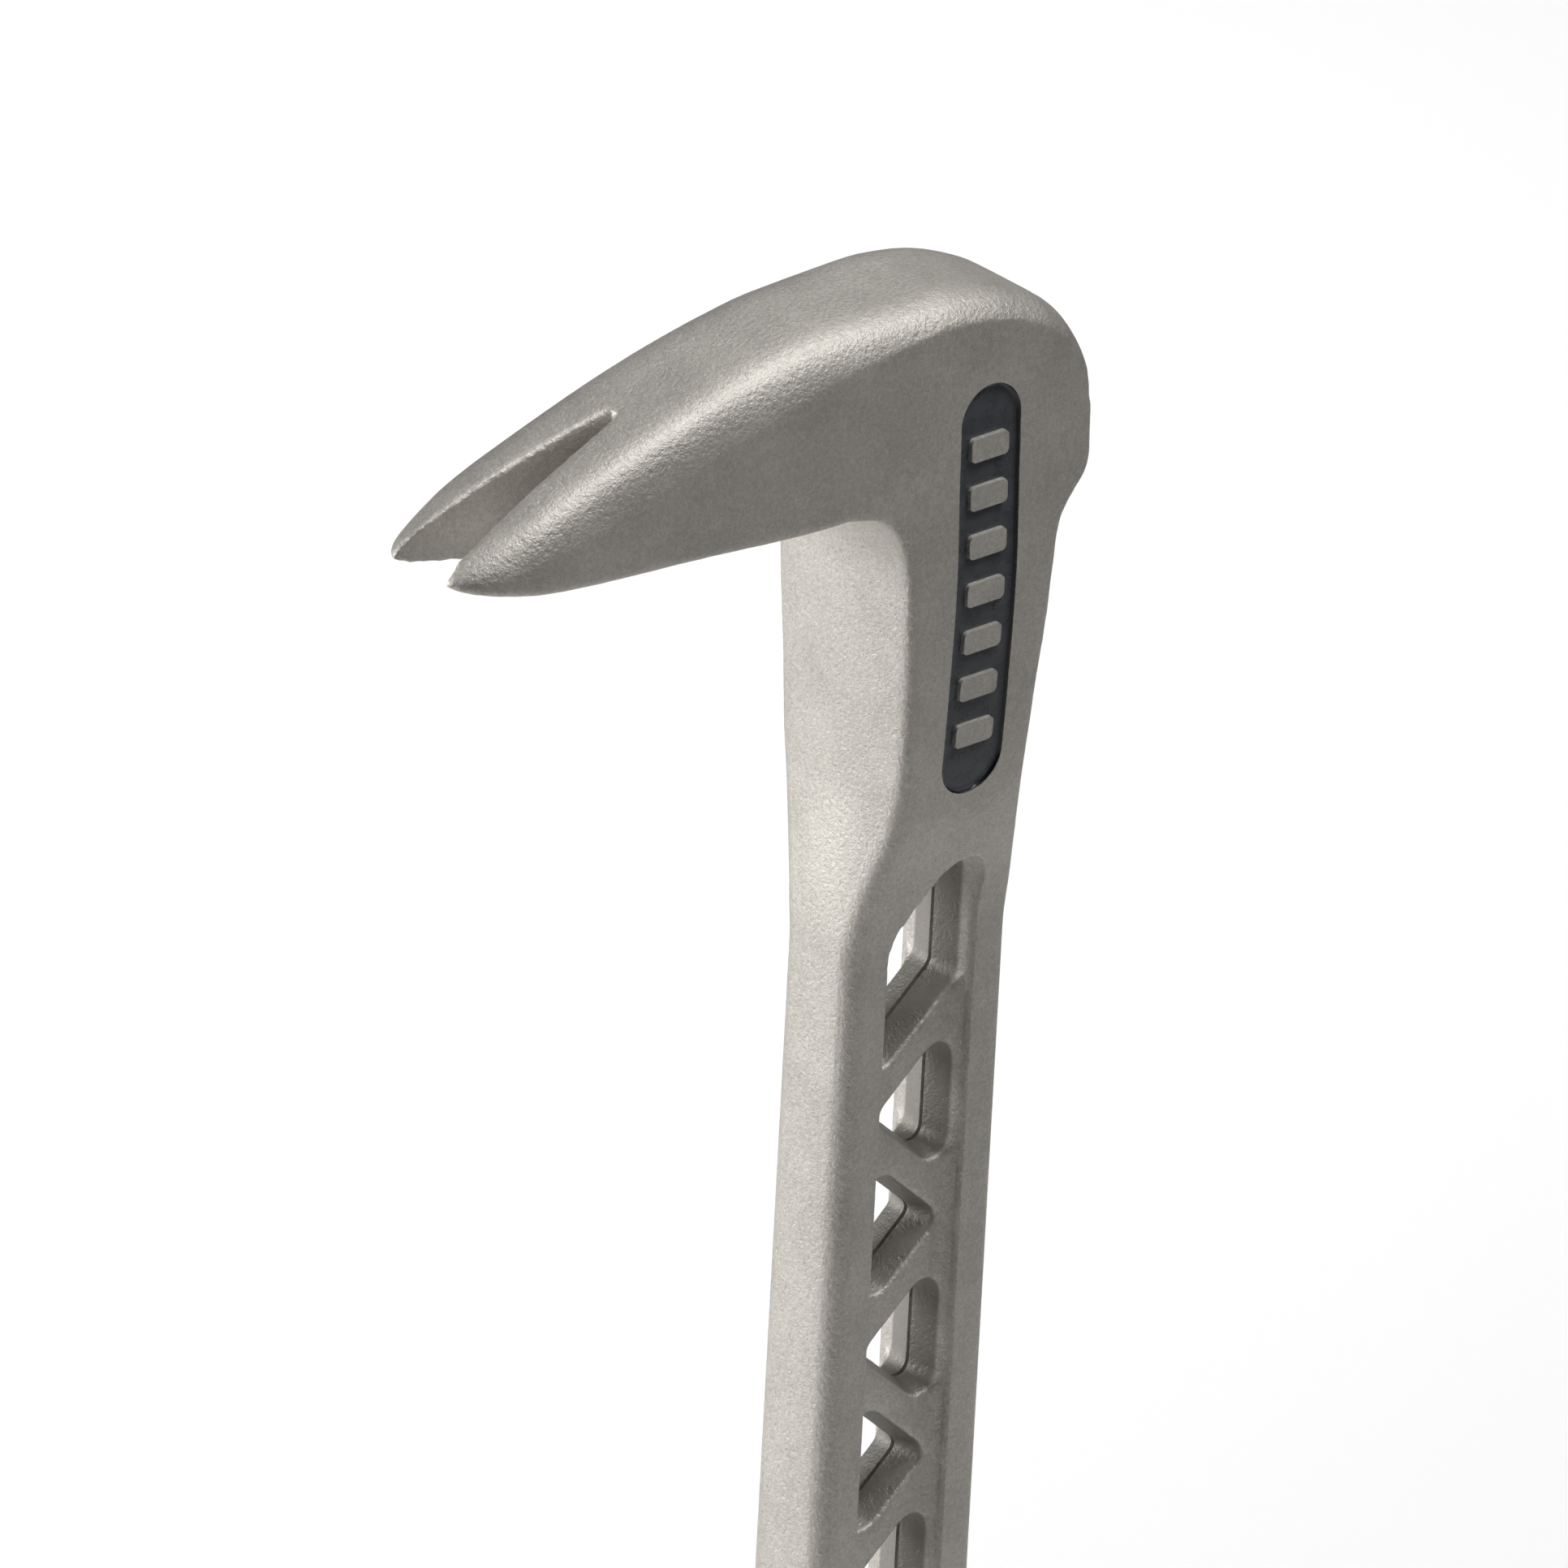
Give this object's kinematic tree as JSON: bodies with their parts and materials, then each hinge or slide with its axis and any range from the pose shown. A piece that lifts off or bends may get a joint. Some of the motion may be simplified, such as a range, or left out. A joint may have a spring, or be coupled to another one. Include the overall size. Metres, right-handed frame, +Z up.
{
  "type": "claw bar",
  "caption": "One-piece cast titanium claw bar for pulling nails: slotted claw, strike pad, open trussed I-beam handle and notched pry blade.",
  "frame": {"origin": "on the ground under the centre of the bounding box, with the bar standing on the edge of its pry blade", "axes": "+Z up the handle to the head, -X the way the claw points, +X the way the strike pad faces, Y across the bar, which is symmetric about Y = 0"},
  "size_m": [0.0774, 0.028, 0.306],
  "materials": {
    "cast_titanium": "matte bead-blasted cast titanium alloy, warm light grey",
    "slate_enamel": "glossy dark slate enamel fill"
  },
  "bodies": {
    "root": {"claw_tine_left": "cast_titanium", "claw_tine_right": "cast_titanium", "claw_bridge": "cast_titanium", "head_block": "cast_titanium", "strike_pad": "cast_titanium", "neck": "cast_titanium", "shoulder_cap": "cast_titanium", "shoulder_front_leg": "cast_titanium", "shoulder_rear_leg": "cast_titanium", "front_rail": "cast_titanium", "rear_rail": "cast_titanium", "truss_strut_01": "cast_titanium", "truss_strut_02": "cast_titanium", "truss_strut_03": "cast_titanium", "truss_strut_04": "cast_titanium", "truss_strut_05": "cast_titanium", "truss_strut_06": "cast_titanium", "truss_strut_07": "cast_titanium", "truss_strut_08": "cast_titanium", "truss_strut_09": "cast_titanium", "truss_strut_10": "cast_titanium", "truss_strut_11": "cast_titanium", "truss_strut_12": "cast_titanium", "heel_front_leg": "cast_titanium", "heel_rear_leg": "cast_titanium", "heel_block": "cast_titanium", "pry_shank": "cast_titanium", "pry_tine_left": "cast_titanium", "pry_tine_right": "cast_titanium", "side_mark_enamel_left": "slate_enamel", "side_mark_enamel_right": "slate_enamel"}
  },
  "joints": []
}
